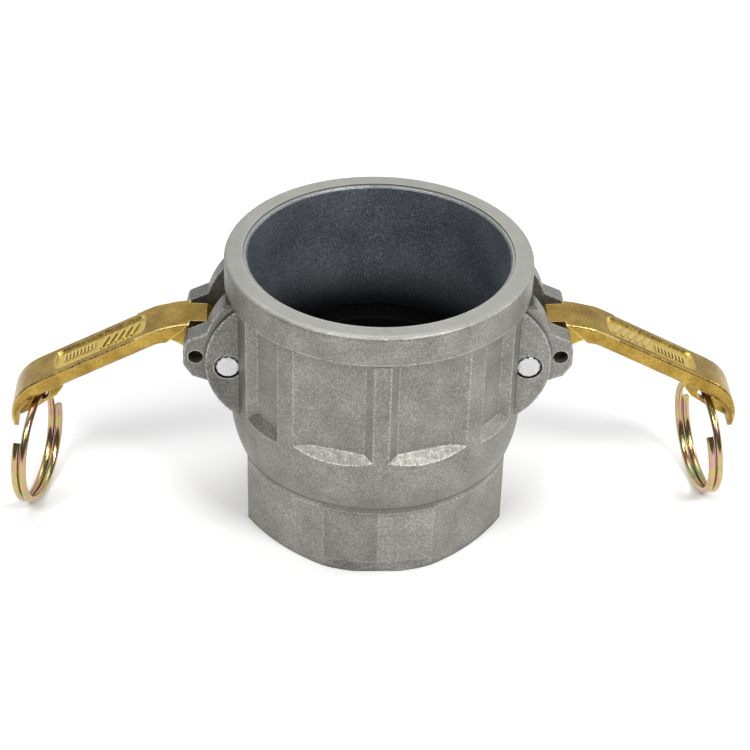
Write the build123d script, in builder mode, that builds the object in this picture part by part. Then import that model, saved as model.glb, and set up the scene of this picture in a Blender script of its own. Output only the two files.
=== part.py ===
from build123d import *
import os
from math import atan2, cos, degrees, radians, sin, sqrt

# Camlock coupling, 3 inch (DN 80): female cup above, female pipe thread below.
# Millimetres. Z is the flow axis, the open cup faces +Z, the threaded end stands on z = 0.
# The two cam arms lie in the XZ plane, one on each side.

# ---- driving dimensions -------------------------------------------------------------------
total_height = 103.5
cup_radius = 46.15               # bore that takes the 91.5 mm adapter
mouth_lip_radius = 47.7          # shallow turned step at the mouth
mouth_lip_depth = 0.5

collar_radius = 54.2
collar_bottom = 92.0
collar_round = 1.8
barrel_radius = 52.6             # outer face of the ribs
barrel_bottom = 43.0             # below this the shoulder turns inward
shoulder_bottom = 28.8
socket_radius = 50.0

side_flat = 46.5                 # socket flats on +X and -X
quarter_point = (36.4, 32.2)     # the socket's softly flattened corners
facet_corner = (19.5, 46.0)      # outer edge of each wrench facet
facet_ridge = 49.1               # the two facets of a pair meet here
facet_bottom = 3.4               # below this each facet slopes out to the round lip
facet_top = 26.2
lip_slope = 2.2                  # drop of that slope for each millimetre outwards
lip_flat = 49.35                 # small flat on the bottom lip, front and back
lip_arc_point = (14.0, 48.0)

floor_distance = 49.1            # recessed panel floors, measured from the axis
floor_bottom = 52.4
ramp_drop = 5.4                  # height of the ramp below each panel floor
cutter_reach = 5.0               # how far the panel cutters stand outside the floor

gasket_seat = 44.5
gasket_height = 6.4
gasket_outer_radius = 47.3
gasket_inner_radius = 38.4
gasket_groove_radius = 47.8
throat_radius = 38.2
throat_bottom = 39.5

thread_pitch = 25.4 / 11         # G 3, eleven threads to the inch
thread_minor_radius = 42.46
thread_major_radius = 43.94
thread_start = 2.2
thread_turns = 12
thread_length = 30.2
relief_top = 33.5

pin_x = 53.0                     # cam arm pivot
pin_z = 67.2
pin_radius = 4.15
pin_running_gap = 0.05
pin_recess_radius = 4.75
pin_recess_depth = 1.3

slot_half_width = 9.2            # between the two ears of a pair
flange_face = 17.0
boss_face = 18.5
ear_root_x = 44.0
flange_centre = (29.5, 70.7)
flange_radius = 32.2
boss_centre = (33.8, 68.3)
boss_radius = 27.2
lobe_end_x = 68.6
safety_hole = (64.2, 70.6)
safety_hole_radius = 2.6
window_half_height = 14.0

hub_half_width = 8.6
hub_radius = 6.4
hub_outer_radius = 10.4
web_half_width = 4.4
neck_half_width = 5.8
handle_half_width = 8.2
handle_thickness = 6.2
flange_thickness = 2.6
panel_depth = 1.0
tip_bottom = 33.0
tip_corner_round = 2.8
lug_half_width = 1.4
lug_hole = (121.3, 44.2)
lug_hole_radius = 3.1

ring_radius = 20.8               # middle of the wire
ring_wire_radius = 1.35
coil_pitch = 2.85
wire_height = lug_hole[1] - lug_hole_radius + ring_wire_radius + 0.6

os.makedirs("parts", exist_ok=True)


# ---- body ----------------------------------------------------------------------------------
def socket_outline():
    """One quarter of the socket outline on +X +Y, mirrored to all four."""
    flat_corner = (side_flat, sqrt(socket_radius**2 - side_flat**2))
    lip_corner = (sqrt(socket_radius**2 - lip_flat**2), lip_flat)
    with BuildSketch() as outline:
        with BuildLine():
            Line((0, 0), (side_flat, 0))
            Line((side_flat, 0), flat_corner)
            ThreePointArc(flat_corner, quarter_point, facet_corner)
            ThreePointArc(facet_corner, lip_arc_point, lip_corner)
            Line(lip_corner, (0, lip_flat))
            Line((0, lip_flat), (0, 0))
        make_face()
        mirror(about=Plane.XZ)
        mirror(about=Plane.YZ)
    return outline.sketch


def facet_cutter():
    """Cuts the wrench facet in front, right of the middle; its lower end slopes to the lip."""
    angle = degrees(atan2(facet_ridge - facet_corner[1], facet_corner[0]))
    distance = facet_ridge * cos(radians(angle))
    outside = distance + cutter_reach
    lowest = facet_bottom - cutter_reach * lip_slope
    with BuildPart() as cutter:
        with BuildSketch(Plane.YZ.offset(-socket_radius)):
            Polygon((-distance, facet_bottom), (-outside, lowest), (-outside, facet_top),
                    (-distance, facet_top), align=None)
        extrude(amount=2 * socket_radius)
    return Rot(0, 0, angle) * cutter.part


def panel_cutter(near_half, far_half, near_slope, far_slope):
    """A tapered block that cuts one recessed panel, facing -Y; its near side is on -X."""
    top = collar_bottom
    with BuildPart() as cutter:
        for distance in (0, cutter_reach):
            left = -near_half - near_slope * distance
            right = far_half + far_slope * distance
            bottom = floor_bottom - ramp_drop * distance / cutter_reach
            with BuildSketch(Plane.XZ.offset(floor_distance + distance)):
                with Locations(((left + right) / 2, (bottom + top) / 2)):
                    Rectangle(right - left, top - bottom)
        loft()
    return cutter.part


def ear_plate():
    """One ear on the +X side, in front of the arm: a flange with a lobe, and a raised boss."""
    ear_bottom = barrel_bottom + 2
    with BuildPart() as ear:
        with BuildSketch(Plane.XZ.offset(slot_half_width)):
            with Locations(flange_centre):
                Circle(flange_radius)
            with Locations(((ear_root_x + 70) / 2, (ear_bottom + collar_bottom) / 2)):
                Rectangle(70 - ear_root_x, collar_bottom - ear_bottom, mode=Mode.INTERSECT)
            with BuildLine():
                lobe = Polyline((56, 82.4), (61.0, 79.9), (lobe_end_x - 1.2, 77.0),
                                (lobe_end_x, 72.5), (lobe_end_x, 67.0),
                                (lobe_end_x - 3.0, 62.3), (60.5, 60.4), (56, 58.5), close=True)
            make_face(lobe.edges())
        extrude(amount=flange_face - slot_half_width)
        outline = ear.edges().filter_by(Axis.Y).filter_by_position(Axis.X, 66, 70)
        fillet(outline, 2.2)
        face_rim = ear.faces().sort_by(Axis.Y)[0].edges().filter_by_position(Axis.X, 50, 70)
        fillet(face_rim, 0.7)
        with BuildSketch(Plane.XZ.offset(slot_half_width)):
            with Locations(boss_centre):
                Circle(boss_radius)
            with Locations(((ear_root_x + 70) / 2, (ear_bottom + collar_bottom) / 2)):
                Rectangle(70 - ear_root_x, collar_bottom - ear_bottom, mode=Mode.INTERSECT)
        extrude(amount=boss_face - slot_half_width)
        boss_rim = ear.faces().sort_by(Axis.Y)[0].edges().filter_by(GeomType.CIRCLE)
        fillet(boss_rim, 0.5)
    return ear.part


def thread_points():
    """The thread's outline: one V groove and one narrow land for each pitch."""
    points = []
    for turn in range(thread_turns):
        start = thread_start + turn * thread_pitch
        points.append((thread_minor_radius, start))
        points.append((thread_major_radius, start + 0.38 * thread_pitch))
        points.append((thread_major_radius, start + 0.48 * thread_pitch))
        points.append((thread_minor_radius, start + 0.86 * thread_pitch))
    return points


def inside_profile():
    """Everything bored from the axis out: cup, gasket groove, throat, relief and thread."""
    with BuildSketch(Plane.XZ) as profile:
        with BuildLine():
            Polyline(
                (0, -1), (thread_major_radius + 1.0, -1), (thread_major_radius + 0.4, 0),
                (thread_minor_radius, thread_start - 0.3), *thread_points(),
                (thread_minor_radius, thread_length),
                (thread_major_radius + 0.2, thread_length + 0.8),
                (thread_major_radius + 0.2, relief_top), (throat_radius, throat_bottom),
                (throat_radius, gasket_seat), (gasket_groove_radius, gasket_seat),
                (gasket_groove_radius, gasket_seat + gasket_height + 0.3),
                (cup_radius, gasket_seat + gasket_height + 1.2),
                (cup_radius, total_height - mouth_lip_depth - 0.6),
                (cup_radius + 0.6, total_height - mouth_lip_depth),
                (mouth_lip_radius, total_height - mouth_lip_depth),
                (mouth_lip_radius, total_height + 1),
                (0, total_height + 1), close=True)
        make_face()
    return profile.sketch


front_panel = panel_cutter(9.8, 9.8, 2.0, 4.9)
side_panel = panel_cutter(5.6, 5.6, 1.25, 1.25)
front_panel_angle = 17.75
side_panel_angle = 52.3
ear = ear_plate()
facet = facet_cutter()

with BuildPart() as coupling_body:
    with BuildSketch(Plane.XZ):
        with BuildLine():
            Line((0, shoulder_bottom), (socket_radius, shoulder_bottom))
            shoulder = TangentArc(
                (barrel_radius, barrel_bottom), (socket_radius, shoulder_bottom), tangent=(0, -1))
            Polyline(
                (barrel_radius, barrel_bottom), (barrel_radius, collar_bottom),
                (collar_radius, collar_bottom + 0.3), (collar_radius, total_height - collar_round))
            RadiusArc((collar_radius, total_height - collar_round),
                      (collar_radius - collar_round, total_height), -collar_round)
            Polyline((collar_radius - collar_round, total_height), (0, total_height),
                     (0, shoulder_bottom))
        make_face()
    revolve()
    for angle, panel in ((front_panel_angle, front_panel), (side_panel_angle, side_panel)):
        right = Rot(0, 0, angle) * panel
        left = right.mirror(Plane.YZ)
        for cutter in (right, left, right.mirror(Plane.XZ), left.mirror(Plane.XZ)):
            add(cutter, mode=Mode.SUBTRACT)
    extrude(socket_outline(), amount=facet_top)
    for cutter in (facet, facet.mirror(Plane.YZ)):
        add(cutter, mode=Mode.SUBTRACT)
        add(cutter.mirror(Plane.XZ), mode=Mode.SUBTRACT)
    with BuildSketch(Plane.XY.offset(facet_top)):
        Circle(socket_radius)
        Rectangle(2 * side_flat, 3 * side_flat, mode=Mode.INTERSECT)
    extrude(amount=shoulder_bottom - facet_top)
    for front in (ear, ear.mirror(Plane.YZ)):
        add(front)
        add(front.mirror(Plane.XZ))
    revolve(inside_profile(), axis=Axis.Z, mode=Mode.SUBTRACT)
    with Locations((0, 0, pin_z)):
        Box(2 * (barrel_radius + 1), 2 * slot_half_width, 2 * window_half_height,
            mode=Mode.SUBTRACT)
    for side in (-1, 1):
        with BuildSketch(Plane.XZ.offset(-boss_face)):
            with Locations((side * pin_x, pin_z)):
                Circle(pin_radius)
            with Locations((side * safety_hole[0], safety_hole[1])):
                Circle(safety_hole_radius)
        extrude(amount=2 * boss_face, mode=Mode.SUBTRACT)
        for face in (-1, 1):
            with BuildSketch(Plane.XZ.offset(face * boss_face)):
                with Locations((side * pin_x, pin_z)):
                    Circle(pin_recess_radius)
            extrude(amount=-face * pin_recess_depth, mode=Mode.SUBTRACT)

coupling_body.part.label = "coupling_body"
export_step(coupling_body.part, "parts/coupling_body.step")


# ---- gasket --------------------------------------------------------------------------------
with BuildPart() as gasket:
    with BuildSketch(Plane.XZ):
        with Locations(((gasket_inner_radius + gasket_outer_radius) / 2,
                        gasket_seat + gasket_height / 2)):
            RectangleRounded(gasket_outer_radius - gasket_inner_radius, gasket_height, 0.9)
    revolve()

gasket.part.label = "gasket"
export_step(gasket.part, "parts/gasket.step")

# ---- pivot pins ----------------------------------------------------------------------------
def pivot_pin(side):
    """A pin through both ears of one side, with a serrated head at each end."""
    half_length = boss_face - 0.1
    with BuildPart() as pin:
        with BuildSketch(Plane.XZ.offset(-half_length)):
            with Locations((side * pin_x, pin_z)):
                Circle(pin_radius)
        extrude(amount=2 * half_length)
        chamfer(pin.edges().filter_by(GeomType.CIRCLE), 0.35)
        for end in (-1, 1):
            with BuildSketch(Plane.XZ.offset(end * half_length)):
                with Locations((side * pin_x, pin_z)):
                    with PolarLocations(pin_radius + 0.15, 11):
                        Circle(0.6)
            extrude(amount=-end * 1.1, mode=Mode.SUBTRACT)
    return pin.part


# ---- cam arms ------------------------------------------------------------------------------
handle_slope = 27.3
along = Vector(cos(radians(handle_slope)), 0, -sin(radians(handle_slope)))
outward = Vector(sin(radians(handle_slope)), 0, cos(radians(handle_slope)))
handle_start = (81.8, 74.2)


def handle_point(distance, depth):
    """A point of the XZ profile, along the straight of the handle and below its top face."""
    x = handle_start[0] + along.X * distance - outward.X * depth
    z = handle_start[1] + along.Z * distance - outward.Z * depth
    return (x, z)


def arm_profile(shift=0.0):
    """Side view of the arm on +X, cam to tip; shift lowers the top line only."""
    top_start = (60.6, 78.0 - shift)
    bend = handle_point(1.0, shift)
    knee = handle_point(43.5, shift)
    lobe_centre = (pin_x - 1.85, pin_z - 6.95)
    with BuildSketch(Plane.XZ) as profile:
        with BuildLine():
            Spline(top_start, (67.7, 78.2 - shift), (74.8, 76.9 - shift), bend,
                   tangents=((1, 0.1), (along.X, along.Z)))
            Line(bend, knee)
            Spline(knee, (129.2 - shift, 46.8), (131.6 - shift, 38.6), (130.9 - shift, 33.6),
                   tangents=((along.X, along.Z), (-0.25, -1)))
            Line((130.9 - shift, 33.6), (129.6 - shift, 33.0))
            Spline((129.6 - shift, 33.0), (128.9, 38.0), (126.3, 42.6),
                   handle_point(39.0, handle_thickness),
                   tangents=((-0.1, 1), (-along.X, -along.Z)))
            Line(handle_point(39.0, handle_thickness), handle_point(1.0, handle_thickness))
            Spline(handle_point(1.0, handle_thickness), (73.6, 69.2), (67.6, 65.4), (63.4, 59.4),
                   tangents=((-along.X, -along.Z), (-0.45, -1)))
            Line((63.4, 59.4), (58.2, 55.2))
            Line((58.2, 55.2), (lobe_centre[0], lobe_centre[1] - 4.6))
            ThreePointArc((lobe_centre[0], lobe_centre[1] - 4.6),
                          (lobe_centre[0] - 3.25, lobe_centre[1] - 3.25),
                          (lobe_centre[0] - 4.6, lobe_centre[1]))
            Line((lobe_centre[0] - 4.6, lobe_centre[1]), (pin_x - hub_radius, pin_z))
            ThreePointArc((pin_x - hub_radius, pin_z),
                          (pin_x - hub_radius * 0.82, pin_z + hub_radius * 0.5724),
                          (pin_x - hub_radius * 0.4, pin_z + hub_radius * 0.9165))
            Line((pin_x - hub_radius * 0.4, pin_z + hub_radius * 0.9165), (58.4, 77.3 - shift))
            Line((58.4, 77.3 - shift), top_start)
        make_face()
    return profile.sketch


def handle_block(line_point, round_radius):
    """The handle at full width, with the long edges through one profile point rounded."""
    with BuildPart() as block:
        with BuildSketch(Plane.XZ):
            add(arm_profile())
            Polygon((66, 78.75), (84, 61.75), (84, 20), (140, 20), (140, 90), (66, 90),
                    align=None, mode=Mode.INTERSECT)
        extrude(amount=handle_half_width, both=True)
        near = []
        for edge in block.edges():
            place = edge.center()
            if abs(place.X - line_point[0]) + abs(place.Z - line_point[1]) < 2.5:
                near.append(edge)
        fillet(near, round_radius)
    return block.part


def arm_handle():
    """The full width length of the arm, from the diagonal end of the neck pocket to the tip."""
    with BuildPart() as handle:
        add(handle_block(handle_point(20.0, handle_thickness), 2.2))
        add(handle_block(handle_point(22.2, 0), 0.9), mode=Mode.INTERSECT)
        with BuildSketch(Plane.YZ.offset(60)):
            with Locations((0, tip_bottom + 50)):
                RectangleRounded(2 * handle_half_width, 100, tip_corner_round)
        extrude(amount=80, mode=Mode.INTERSECT)
    return handle.part


def neck_flange():
    """The thin top of the neck, which widens from the ears to the handle."""
    with BuildPart() as flange:
        with BuildSketch(Plane.XZ):
            add(arm_profile())
            add(arm_profile(flange_thickness), mode=Mode.SUBTRACT)
            with Locations((70, 75)):
                Rectangle(32, 16, mode=Mode.INTERSECT)
        extrude(amount=handle_half_width, both=True)
        with BuildSketch(Plane.XY.offset(60)):
            with BuildLine():
                Line((54, 0), (54, neck_half_width))
                Line((54, neck_half_width), (68, neck_half_width))
                Spline((68, neck_half_width), (80, handle_half_width), tangents=((1, 0.05), (1, 0)))
                Line((80, handle_half_width), (86, handle_half_width))
                Line((86, handle_half_width), (86, 0))
                Line((86, 0), (54, 0))
            make_face()
            mirror(about=Plane.XZ)
        extrude(amount=30, mode=Mode.INTERSECT)
    return flange.part


def panel_ribs():
    """Plain raised bars on the floor of the handle's panel: coarse ones, then a fine row."""
    with BuildPart() as ribs:
        for row in range(5):
            with BuildSketch(panel_floor):
                with Locations((-14.0 + row * 3.1, 0)):
                    SlotOverall(6.6, 1.3, rotation=62)
            extrude(amount=0.55)
        for row in range(9):
            with BuildSketch(panel_floor):
                with Locations((2.6 + row * 1.5, -0.6)):
                    SlotOverall(4.2, 0.75, rotation=90)
            extrude(amount=0.45)
    return ribs.part


def panel_recess():
    """The sunken panel in the top of the handle, with sloping sides."""
    with BuildPart() as recess:
        with BuildSketch(panel_floor):
            RectangleRounded(36.0, 10.2, 2.4)
        with BuildSketch(panel_floor.offset(panel_depth)):
            RectangleRounded(37.2, 11.4, 3.0)
        loft()
        with BuildSketch(panel_floor.offset(panel_depth)):
            RectangleRounded(37.2, 11.4, 3.0)
        extrude(amount=0.6)
    return recess.part


def cam_arm():
    """The arm on the +X side: cam hub, pocketed neck, handle with a panel, lug and hooked tip."""
    with BuildPart() as arm:
        with BuildSketch(Plane.XZ):
            add(arm_profile())
        extrude(amount=web_half_width, both=True)
        with BuildSketch(Plane.XZ):
            add(arm_profile())
            with Locations((pin_x, pin_z)):
                Circle(hub_outer_radius, mode=Mode.INTERSECT)
        extrude(amount=hub_half_width, both=True)
        with BuildSketch(Plane.XZ):
            Polygon((111.8, 50.5), (113.4, 46.2), (115.9, 42.8), (118.4, 41.2), (121.8, 38.8),
                    (125.2, 36.6), (129.0, 34.6), (130.2, 36.5), (128.0, 46.0), (122.0, 51.0),
                    align=None)
            with Locations(lug_hole):
                Circle(lug_hole_radius, mode=Mode.SUBTRACT)
        extrude(amount=lug_half_width, both=True)
        add(arm_handle())
        add(neck_flange())
        with BuildSketch(Plane.XZ.offset(-hub_half_width)):
            with Locations((pin_x, pin_z)):
                Circle(pin_radius + pin_running_gap)
        extrude(amount=2 * hub_half_width, mode=Mode.SUBTRACT)
        add(panel_recess(), mode=Mode.SUBTRACT)
        add(panel_ribs())
    return arm.part


panel_middle = handle_point(19.5, panel_depth)
panel_floor = Plane(origin=(panel_middle[0], 0, panel_middle[1]), x_dir=along, z_dir=outward)

# ---- pull rings ----------------------------------------------------------------------------
coil_start = 55                  # degrees from the top, down the front
coil_end = 643
crossing = (295, 343)            # where the wire steps over from one coil to the other


def wire_offset(angle):
    """How far along the ring's axis the wire has stepped at an angle from the top."""
    step = min(max((angle - crossing[0]) / (crossing[1] - crossing[0]), 0), 1)
    return -0.5 * coil_pitch * cos(radians(180 * step))


def split_ring():
    """A split ring about the local X axis: most of two coils, single where it hangs."""
    path_points = []
    for angle in range(coil_start, coil_end + 1, 11):
        path_points.append((wire_offset(angle), -ring_radius * sin(radians(angle)),
                            ring_radius * cos(radians(angle))))
    with BuildPart() as ring:
        with BuildLine() as path:
            Spline(path_points)
        with BuildSketch(Plane(origin=path.line @ 0, z_dir=path.line % 0)):
            Circle(ring_wire_radius)
        sweep()
    return ring.part


def hung_ring(side, hang_angle, yaw, tilt):
    """A ring hanging in the lug of one side; its axis is turned by yaw and lifted by tilt."""
    level = Vector(cos(radians(yaw)), sin(radians(yaw)), 0)
    axis = level * cos(radians(tilt)) + Vector(0, 0, sin(radians(tilt)))
    across = Vector(-sin(radians(yaw)), cos(radians(yaw)), 0)
    upward = axis.cross(across)
    in_lug = Vector(side * lug_hole[0], 0, wire_height)
    centre = in_lug - axis * wire_offset(hang_angle)
    centre = centre + across * ring_radius * sin(radians(hang_angle))
    centre = centre - upward * ring_radius * cos(radians(hang_angle))
    return split_ring().moved(Plane(origin=centre, x_dir=axis, z_dir=upward).location)


right_arm = cam_arm()
moving = {
    "cam_arm_right": right_arm,
    "cam_arm_left": right_arm.rotate(Axis.Z, 180),
    "pull_ring_right": hung_ring(1, 366, 8.6, 5.7),
    "pull_ring_left": hung_ring(-1, 351, -13.0, -1.5),
    "pivot_pin_right": pivot_pin(1),
    "pivot_pin_left": pivot_pin(-1),
}
for name, piece in moving.items():
    piece.label = name
    export_step(piece, f"parts/{name}.step")
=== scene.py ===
from math import cos, radians, sin

import bpy
from mathutils import Matrix, Vector

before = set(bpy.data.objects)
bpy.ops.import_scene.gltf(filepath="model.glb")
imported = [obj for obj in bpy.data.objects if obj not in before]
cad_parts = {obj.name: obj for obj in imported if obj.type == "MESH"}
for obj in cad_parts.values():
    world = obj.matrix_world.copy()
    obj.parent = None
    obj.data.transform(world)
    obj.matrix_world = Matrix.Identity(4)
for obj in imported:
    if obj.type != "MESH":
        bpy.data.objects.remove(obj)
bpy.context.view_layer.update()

# Camlock coupling: metres, +Z up the flow axis, the arms along X, the front at -Y.
# Patterns work in millimetres: every coordinate is multiplied by a thousand first.

MM = 0.001

# Places on the object, in millimetres.
CUP_RADIUS = 46.15
CUP_BOTTOM = 51.0
GROOVE_BOTTOM = 38.5             # the turned bore colour goes down to here, past the gasket; painted shade makes it near black this deep
RIM_TOP = 103.5
COLLAR_BOTTOM = 92.0
SHOULDER_BOTTOM = 28.8
FACET_TOP = 26.2
FACET_HALF_WIDTH = 19.5
LEFT_EAR = -46.0
HANDLE_START = (81.8, 74.2)      # x and z where the straight of the right handle begins
SLOPE = radians(27.3)            # the handles' slope below the horizontal
PANEL_MIDDLE = 19.5              # along the handle from its start
PANEL_HALF_LENGTH = 18.6
PANEL_HALF_WIDTH = 5.9

# Colours used more than once.
# bare-metal wear colour, also used as painted highlight on edges and specks
BARE_METAL_AND_HIGHLIGHT = (0.60, 0.595, 0.57)
# near-black painted shade for corners, creases and undercuts
CREVICE_SHADE = (0.045, 0.043, 0.038)


# ---- node helpers ---------------------------------------------------------------------------
class Tree:
    """A material's node tree, with short calls for the nodes used here."""

    def __init__(self, name):
        self.material = bpy.data.materials.new(name)
        self.material.use_nodes = True
        self.nodes = self.material.node_tree.nodes
        self.links = self.material.node_tree.links
        self.shader = self.nodes["Principled BSDF"]
        coords = self.nodes.new("ShaderNodeTexCoord")
        self.mm = self.vector("MULTIPLY", coords.outputs["Object"], (1000, 1000, 1000))

    def put(self, node, socket, value):
        target = node.inputs[socket]
        if isinstance(value, bpy.types.NodeSocket):
            self.links.new(value, target)
        else:
            target.default_value = value

    def vector(self, operation, a, b):
        node = self.nodes.new("ShaderNodeVectorMath")
        node.operation = operation
        self.put(node, 0, a)
        self.put(node, 1, b)
        return node.outputs["Value" if operation == "DOT_PRODUCT" else 0]

    def length(self, a):
        node = self.nodes.new("ShaderNodeVectorMath")
        node.operation = "LENGTH"
        self.put(node, 0, a)
        return node.outputs["Value"]

    def math(self, operation, a, b=0.0):
        node = self.nodes.new("ShaderNodeMath")
        node.operation = operation
        self.put(node, 0, a)
        self.put(node, 1, b)
        return node.outputs[0]

    def axes(self, vector):
        node = self.nodes.new("ShaderNodeSeparateXYZ")
        self.put(node, 0, vector)
        return node.outputs

    def noise(self, scale, detail=2.0, roughness=0.5, stretch=None, distortion=0.0):
        coords = self.mm
        if stretch:
            coords = self.vector("MULTIPLY", self.mm, stretch)
        node = self.nodes.new("ShaderNodeTexNoise")
        self.put(node, "Vector", coords)
        node.inputs["Scale"].default_value = scale
        node.inputs["Detail"].default_value = detail
        node.inputs["Roughness"].default_value = roughness
        node.inputs["Distortion"].default_value = distortion
        return node.outputs["Fac"]

    def remap(self, value, low, high, to_low=0.0, to_high=1.0, smooth=False):
        node = self.nodes.new("ShaderNodeMapRange")
        node.interpolation_type = "SMOOTHSTEP" if smooth else "LINEAR"
        for socket, item in (("Value", value), ("From Min", low), ("From Max", high),
                             ("To Min", to_low), ("To Max", to_high)):
            self.put(node, socket, item)
        return node.outputs[0]

    def band(self, value, low, high, soft):
        """1 between low and high, falling to 0 over the soft distance on both sides."""
        return self.math("MULTIPLY", self.remap(value, low - soft, low),
                         self.remap(value, high + soft, high))

    def ramp(self, value, *stops):
        node = self.nodes.new("ShaderNodeValToRGB")
        self.put(node, "Fac", value)
        elements = node.color_ramp.elements
        while len(elements) < len(stops):
            elements.new(0.5)
        for element, (position, colour) in zip(elements, stops):
            element.position = position
            element.color = (*colour, 1.0)
        return node.outputs["Color"]

    def mix(self, factor, a, b, blend="MIX"):
        node = self.nodes.new("ShaderNodeMix")
        node.data_type = "RGBA"
        node.blend_type = blend
        self.put(node, 0, factor)
        self.put(node, 6, a if isinstance(a, bpy.types.NodeSocket) else (*a, 1.0))
        self.put(node, 7, b if isinstance(b, bpy.types.NodeSocket) else (*b, 1.0))
        return node.outputs[2]

    def edges(self, radius_mm):
        """About 0 on flats, rising to 1 on convex and concave edges."""
        bevel = self.nodes.new("ShaderNodeBevel")
        bevel.samples = 4
        bevel.inputs["Radius"].default_value = radius_mm * MM
        geometry = self.nodes.new("ShaderNodeNewGeometry")
        agree = self.vector("DOT_PRODUCT", bevel.outputs[0], geometry.outputs["Normal"])
        return self.remap(agree, 0.998, 0.955)

    def hollows(self, distance_mm):
        """0 in tight corners, 1 in the open."""
        node = self.nodes.new("ShaderNodeAmbientOcclusion")
        node.samples = 4
        node.inputs["Distance"].default_value = distance_mm * MM
        return node.outputs["AO"]

    def bump(self, height, depth_mm):
        node = self.nodes.new("ShaderNodeBump")
        node.inputs["Strength"].default_value = 1.0
        node.inputs["Distance"].default_value = depth_mm * MM
        self.put(node, "Height", height)
        return node.outputs[0]

    def finish(self, colour, roughness, normal, metallic):
        self.put(self.shader, "Base Color", colour)
        self.put(self.shader, "Roughness", roughness)
        self.put(self.shader, "Normal", normal)
        self.put(self.shader, "Metallic", metallic)
        return self.material


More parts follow.
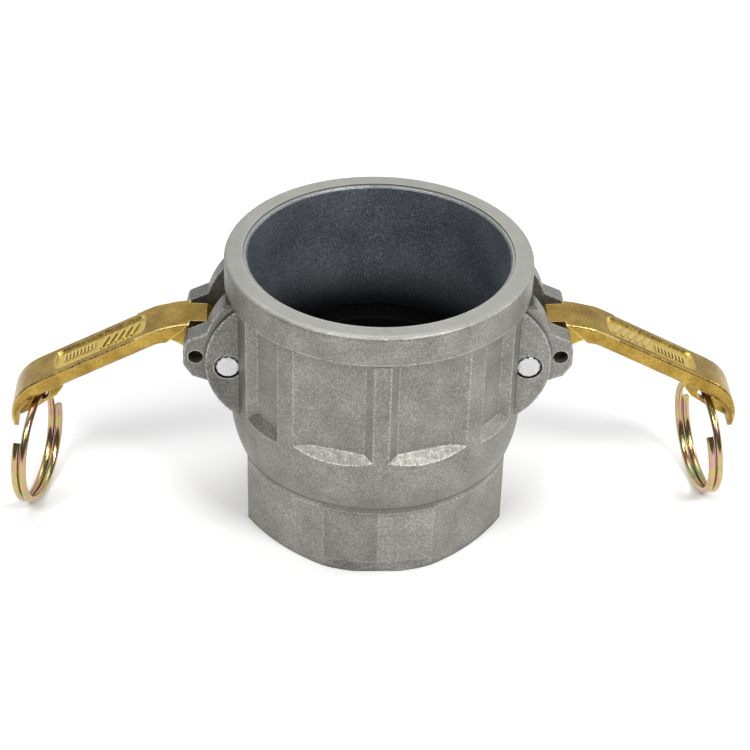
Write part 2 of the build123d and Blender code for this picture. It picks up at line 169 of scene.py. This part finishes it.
# ---- materials ------------------------------------------------------------------------------
def cast_aluminium():
    """A blasted casting outside; a smoother, darker turned bore inside the cup; painted shade
    deep in the bore, in crevices and under overhangs, and painted highlights on edges and the
    rim.
    """
    t = Tree("cast_aluminium")
    x, _, z = t.axes(t.mm)
    radius = t.length(t.vector("MULTIPLY", t.mm, (1, 1, 0)))
    in_bore = t.math("MULTIPLY",
                     t.remap(radius, CUP_RADIUS + 0.5, CUP_RADIUS + 0.25),
                     t.remap(z, GROOVE_BOTTOM, GROOVE_BOTTOM + 0.5))
    on_rim = t.math("MULTIPLY",
                    t.remap(z, RIM_TOP - 1.2, RIM_TOP - 0.3),
                    t.remap(radius, CUP_RADIUS + 0.15, CUP_RADIUS + 0.85))
    near_middle = t.remap(t.math("ABSOLUTE", x), FACET_HALF_WIDTH + 0.4, FACET_HALF_WIDTH - 0.1)

    blotch = t.noise(0.09, 4.0, 0.55)
    mottle = t.noise(0.55, 3.0, 0.6)
    grain = t.noise(1.7, 3.0, 0.65)
    speck = t.noise(2.6, 1.0, 0.5)
    tone = t.math("ADD", t.remap(blotch, 0.3, 0.7, -0.12, 0.12),
                  t.remap(mottle, 0.3, 0.7, -0.06, 0.06))
    tone = t.math("ADD", tone, t.remap(grain, 0.30, 0.70, 0.24, 0.76))
    # painted light: the socket below the shoulder lightened
    on_socket = t.remap(z, SHOULDER_BOTTOM - 1.3, SHOULDER_BOTTOM - 2.8, 0.0, 0.07)
    # painted light and shade: the right front facet lightened, the left one darkened
    on_facet = t.math("MULTIPLY", near_middle, t.remap(z, FACET_TOP + 0.2, FACET_TOP - 0.1))
    facet_shading = t.math("MULTIPLY", on_facet, t.remap(x, -0.3, 0.3, -0.09, 0.07))
    tone = t.math("ADD", t.math("ADD", tone, on_socket), facet_shading)
    # painted shade: darker past the left ear
    tone = t.math("SUBTRACT", tone, t.remap(x, LEFT_EAR, LEFT_EAR - 3.0, 0.0, 0.20))
    cast = t.ramp(tone,
                  (0.12, (0.098, 0.096, 0.084)),
                  (0.42, (0.190, 0.187, 0.166)),
                  (0.62, (0.256, 0.253, 0.227)),
                  (0.90, (0.430, 0.427, 0.392)))
    # bright specks: partly metal grain, partly painted glints
    cast = t.mix(t.remap(speck, 0.66, 0.72, 0.0, 0.5), cast, BARE_METAL_AND_HIGHLIGHT)
    open_air = t.hollows(2.5)
    # edges lightened partly as bare-metal wear and partly as painted highlight
    bright = t.math("MULTIPLY", t.edges(1.0), t.remap(grain, 0.40, 0.58, 0.10, 0.85))
    bright = t.math("MULTIPLY", bright, t.remap(open_air, 0.72, 0.90))
    cast = t.mix(bright, cast, BARE_METAL_AND_HIGHLIGHT)
    # painted highlight: the rim's top face lightened
    cast = t.mix(t.math("MULTIPLY", on_rim, 0.5), cast, (0.46, 0.46, 0.42))
    # painted shade: tight corners and creases darkened where shade falls
    cast = t.mix(t.remap(open_air, 0.40, 0.85, 0.60, 0.0), cast, CREVICE_SHADE)
    # painted shade: near black deep inside holes and pockets
    cast = t.mix(t.remap(t.hollows(7.0), 0.12, 0.42, 0.9, 0.0), cast, (0.010, 0.010, 0.009))
    # painted shadow: dark bands under the collar's and shoulder's overhangs and above the facets'
    # tops
    under_collar = t.band(z, COLLAR_BOTTOM - 1.0, COLLAR_BOTTOM, 0.4)
    under_shoulder = t.band(z, SHOULDER_BOTTOM - 0.5, SHOULDER_BOTTOM + 0.1, 0.3)
    over_facet = t.math("MULTIPLY", t.band(z, FACET_TOP + 0.2, SHOULDER_BOTTOM, 0.2), near_middle)
    crevice = t.math("MAXIMUM", t.math("MULTIPLY", under_collar, 0.62),
                     t.math("MULTIPLY", under_shoulder, 0.55))
    crevice = t.math("MAXIMUM", crevice, t.math("MULTIPLY", over_facet, 0.35))
    cast = t.mix(crevice, cast, CREVICE_SHADE)

    haze = t.noise(0.03, 2.0, 0.5)
    fine = t.noise(1.9, 3.0, 0.7)
    glint = t.remap(t.noise(1.9, 1.0, 0.5), 0.68, 0.74)
    turned = t.ramp(t.math("ADD", t.math("MULTIPLY", haze, 0.3), t.math("MULTIPLY", fine, 0.7)),
                    (0.40, (0.080, 0.092, 0.112)),
                    (0.50, (0.170, 0.190, 0.220)),
                    (0.62, (0.330, 0.355, 0.390)))
    turned = t.mix(t.math("MULTIPLY", glint, 0.6), turned, (0.55, 0.58, 0.63))
    scratch = t.noise(0.35, 2.0, 0.5, stretch=(0.10, 0.10, 9.0), distortion=0.3)
    turned = t.mix(t.remap(scratch, 0.70, 0.76, 0.0, 0.45), turned, (0.55, 0.58, 0.62))
    # painted shade: the bore darkens to near black towards its bottom
    depth = t.remap(z, CUP_BOTTOM + 1.0, CUP_BOTTOM + 25.0, 0.97, 0.0, smooth=True)
    turned = t.mix(depth, turned, (0.004, 0.004, 0.005))
    colour = t.mix(in_bore, cast, turned)

    rough_cast = t.remap(mottle, 0.3, 0.7, 0.34, 0.54)
    rough_bore = t.remap(fine, 0.3, 0.7, 0.42, 0.56)
    rough = t.math("ADD", rough_cast,
                   t.math("MULTIPLY", in_bore, t.math("SUBTRACT", rough_bore, rough_cast)))
    seam = t.math("MULTIPLY", t.remap(t.math("ABSOLUTE", x), 0.9, 0.1),
                  t.remap(in_bore, 0, 1, 1, 0))
    height = t.math("ADD", t.math("MULTIPLY", grain, 0.55), t.math("MULTIPLY", mottle, 0.9))
    height = t.math("ADD", height, t.math("MULTIPLY", speck, 0.2))
    height = t.math("ADD", height, t.math("MULTIPLY", seam, 1.2))
    height = t.math("MULTIPLY", height, t.remap(in_bore, 0.0, 1.0, 1.0, 0.3))
    return t.finish(colour, rough, t.bump(height, 0.12), 0.6)


def forged_brass():
    """Tumbled brass: olive gold with satin grain, edges lightened partly by polish and partly as
    painted highlight, painted shade in hollows, and a yellower sunken panel.
    """
    t = Tree("forged_brass")
    x, y, z = t.axes(t.mm)
    blotch = t.noise(0.12, 4.0, 0.6)
    mottle = t.noise(0.8, 3.0, 0.6)
    grain = t.noise(3.2, 2.0, 0.6)
    tone = t.math("ADD", t.math("MULTIPLY", blotch, 0.45), t.math("MULTIPLY", grain, 0.55))
    base = t.ramp(tone,
                  (0.32, (0.140, 0.076, 0.013)),
                  (0.50, (0.355, 0.228, 0.045)),
                  (0.68, (0.620, 0.430, 0.105)))
    past_start = t.math("SUBTRACT", t.math("ABSOLUTE", x), HANDLE_START[0])
    above_start = t.math("SUBTRACT", z, HANDLE_START[1])
    from_top = t.math("ADD", t.math("MULTIPLY", past_start, sin(SLOPE)),
                      t.math("MULTIPLY", above_start, cos(SLOPE)))
    along = t.math("SUBTRACT", t.math("MULTIPLY", past_start, cos(SLOPE)),
                   t.math("MULTIPLY", above_start, sin(SLOPE)))
    from_middle = t.math("ABSOLUTE", t.math("SUBTRACT", along, PANEL_MIDDLE))
    sunken = t.math("MULTIPLY", t.remap(from_top, -0.15, -0.4),
                    t.remap(t.math("ABSOLUTE", y), PANEL_HALF_WIDTH + 0.3, PANEL_HALF_WIDTH))
    sunken = t.math("MULTIPLY", sunken,
                    t.remap(from_middle, PANEL_HALF_LENGTH + 0.3, PANEL_HALF_LENGTH))
    sunken = t.math("MULTIPLY", sunken, t.remap(from_top, -1.3, -1.15))
    base = t.mix(t.math("MULTIPLY", sunken, 0.75), base, (0.86, 0.66, 0.17))
    # edges lightened partly by tumbling polish and partly as painted highlight
    edge = t.math("MULTIPLY", t.edges(0.7), t.remap(mottle, 0.3, 0.6, 0.45, 1.0))
    base = t.mix(t.math("MULTIPLY", edge, 0.8), base, (1.0, 0.82, 0.42))
    # painted shade: hollows and corners darkened
    hollow_shade = t.remap(t.hollows(2.0), 0.3, 0.80, 0.8, 0.0)
    base = t.mix(hollow_shade, base, (0.070, 0.036, 0.010))
    rough = t.remap(mottle, 0.3, 0.7, 0.22, 0.40)
    rough = t.math("SUBTRACT", rough, t.math("MULTIPLY", edge, 0.08))
    height = t.math("ADD", t.math("MULTIPLY", grain, 0.4), mottle)
    return t.finish(base, rough, t.bump(height, 0.045), 1.0)


def yellow_zinc():
    """Passivated wire: gold that drifts to pink and green along its length."""
    t = Tree("yellow_zinc")
    drift = t.noise(0.16, 2.0, 0.5)
    mottle = t.noise(0.7, 3.0, 0.6)
    grain = t.noise(4.0, 1.0, 0.5)
    tone = t.math("ADD", t.math("MULTIPLY", drift, 0.72), t.math("MULTIPLY", mottle, 0.28))
    base = t.ramp(tone,
                  (0.34, (0.310, 0.350, 0.180)),
                  (0.44, (0.500, 0.410, 0.165)),
                  (0.52, (0.540, 0.345, 0.185)),
                  (0.60, (0.500, 0.300, 0.265)),
                  (0.70, (0.500, 0.420, 0.220)))
    rough = t.remap(mottle, 0.3, 0.7, 0.12, 0.26)
    height = t.math("ADD", t.math("MULTIPLY", grain, 0.3), mottle)
    return t.finish(base, rough, t.bump(height, 0.02), 1.0)


def plated_pin():
    """Pale zinc plating with a hammered end."""
    t = Tree("plated_pin")
    mottle = t.noise(1.1, 3.0, 0.6)
    grain = t.noise(4.0, 2.0, 0.6)
    base = t.ramp(grain,
                  (0.30, (0.42, 0.43, 0.43)),
                  (0.50, (0.60, 0.60, 0.60)),
                  (0.70, (0.74, 0.74, 0.73)))
    # painted shade: hollows and corners darkened
    hollow_shade = t.remap(t.hollows(1.5), 0.4, 0.9, 0.55, 0.0)
    base = t.mix(hollow_shade, base, (0.16, 0.16, 0.15))
    rough = t.remap(mottle, 0.3, 0.7, 0.34, 0.52)
    height = t.math("ADD", t.math("MULTIPLY", grain, 0.35), mottle)
    return t.finish(base, rough, t.bump(height, 0.10), 0.7)


def black_rubber():
    """Moulded rubber with a little dust and faint flow marks."""
    t = Tree("black_rubber")
    dust = t.noise(0.5, 5.0, 0.7)
    grain = t.noise(3.0, 2.0, 0.6)
    base = t.ramp(dust,
                  (0.40, (0.0015, 0.0015, 0.0015)),
                  (0.62, (0.003, 0.003, 0.003)),
                  (0.80, (0.008, 0.008, 0.0075)))
    t.shader.inputs["Specular IOR Level"].default_value = 0.05
    rough = t.remap(dust, 0.3, 0.7, 0.60, 0.80)
    return t.finish(base, rough, t.bump(grain, 0.03), 0.0)


FINISHES = {
    "coupling_body": cast_aluminium(),
    "cam_arm": forged_brass(),
    "pull_ring": yellow_zinc(),
    "pivot_pin": plated_pin(),
    "gasket": black_rubber(),
}
for name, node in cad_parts.items():
    for start, material in FINISHES.items():
        if name.startswith(start):
            for material_slot in node.material_slots:
                material_slot.material = material


# ---- floor, light and camera ----------------------------------------------------------------
def pale_floor():
    t = Tree("pale_floor")
    haze = t.noise(0.004, 3.0, 0.5)
    base = t.ramp(haze, (0.3, (0.94, 0.94, 0.94)), (0.7, (0.97, 0.97, 0.97)))
    t.put(t.shader, "Base Color", base)
    t.put(t.shader, "Roughness", 0.7)
    return t.material


MIDDLE = Vector((0, 0, 0.05))
FLOOR_REACH = 6.0                # metres from the middle to each side
FLOOR_DROP = 0.0002              # keeps the floor just clear of the object's base

floor_mesh = bpy.data.meshes.new("floor")
corners = [(side * FLOOR_REACH, face * FLOOR_REACH, 0)
           for side, face in ((-1, -1), (1, -1), (1, 1), (-1, 1))]
floor_mesh.from_pydata(corners, [], [(0, 1, 2, 3)])
floor = bpy.data.objects.new("floor", floor_mesh)
floor.data.materials.append(pale_floor())
floor.location.z = -FLOOR_DROP
bpy.context.scene.collection.objects.link(floor)


def soft_light(name, position, width, height, power):
    """A rectangular light aimed at the middle of the object."""
    light = bpy.data.lights.new(name, "AREA")
    light.shape = "RECTANGLE"
    light.size = width
    light.size_y = height
    light.energy = power
    lamp = bpy.data.objects.new(name, light)
    lamp.location = position
    lamp.rotation_mode = "QUATERNION"
    lamp.rotation_quaternion = (MIDDLE - Vector(position)).to_track_quat("-Z", "Y")
    bpy.context.scene.collection.objects.link(lamp)


soft_light("right", (0.66, -0.70, 1.08), 0.40, 0.30, 10)
soft_light("left", (-0.55, -0.72, 1.10), 0.40, 0.30, 7)
soft_light("far_right", (1.30, 0.22, 0.66), 0.30, 0.30, 3)
soft_light("front_top", (0.0, -1.0, 1.15), 2.6, 0.45, 4)
soft_light("top", (-0.15, 0.35, 1.5), 1.2, 0.8, 7)

world = bpy.data.worlds.new("studio")
world.use_nodes = True
background = world.node_tree.nodes["Background"]
background.inputs["Color"].default_value = (0.97, 0.98, 1.0, 1)
# The surroundings are bright behind the object and dark on the camera's side.
direction = world.node_tree.nodes.new("ShaderNodeTexCoord")
direction_axes = world.node_tree.nodes.new("ShaderNodeSeparateXYZ")
behind = world.node_tree.nodes.new("ShaderNodeMapRange")
behind.interpolation_type = "SMOOTHSTEP"
for socket, value in (("From Min", -0.35), ("From Max", 0.5), ("To Min", 0.10), ("To Max", 0.85)):
    behind.inputs[socket].default_value = value
world.node_tree.links.new(direction.outputs["Generated"], direction_axes.inputs[0])
world.node_tree.links.new(direction_axes.outputs["Y"], behind.inputs["Value"])
world.node_tree.links.new(behind.outputs[0], background.inputs["Strength"])
bpy.context.scene.world = world
bpy.context.scene.view_settings.view_transform = "Standard"

CAMERA_TARGET = Vector((-0.31, 0, 51.0)) * MM
CAMERA_DISTANCE = 0.760
azimuth, elevation, roll = radians(-2.76), radians(34.97), radians(1.63)
back = Vector((sin(azimuth) * cos(elevation), -cos(azimuth) * cos(elevation), sin(elevation)))
level = Vector((cos(azimuth), sin(azimuth), 0))
upright = back.cross(level)
right = level * cos(roll) + upright * sin(roll)
up = upright * cos(roll) - level * sin(roll)
lens = bpy.data.cameras.new("camera")
lens.lens = 100.45
lens.sensor_width = 36
lens.clip_start = 0.05
lens.clip_end = 50
camera = bpy.data.objects.new("camera", lens)
place = Matrix((right, up, back)).transposed().to_4x4()
place.translation = CAMERA_TARGET + back * CAMERA_DISTANCE
camera.matrix_world = place
bpy.context.scene.collection.objects.link(camera)
bpy.context.scene.camera = camera
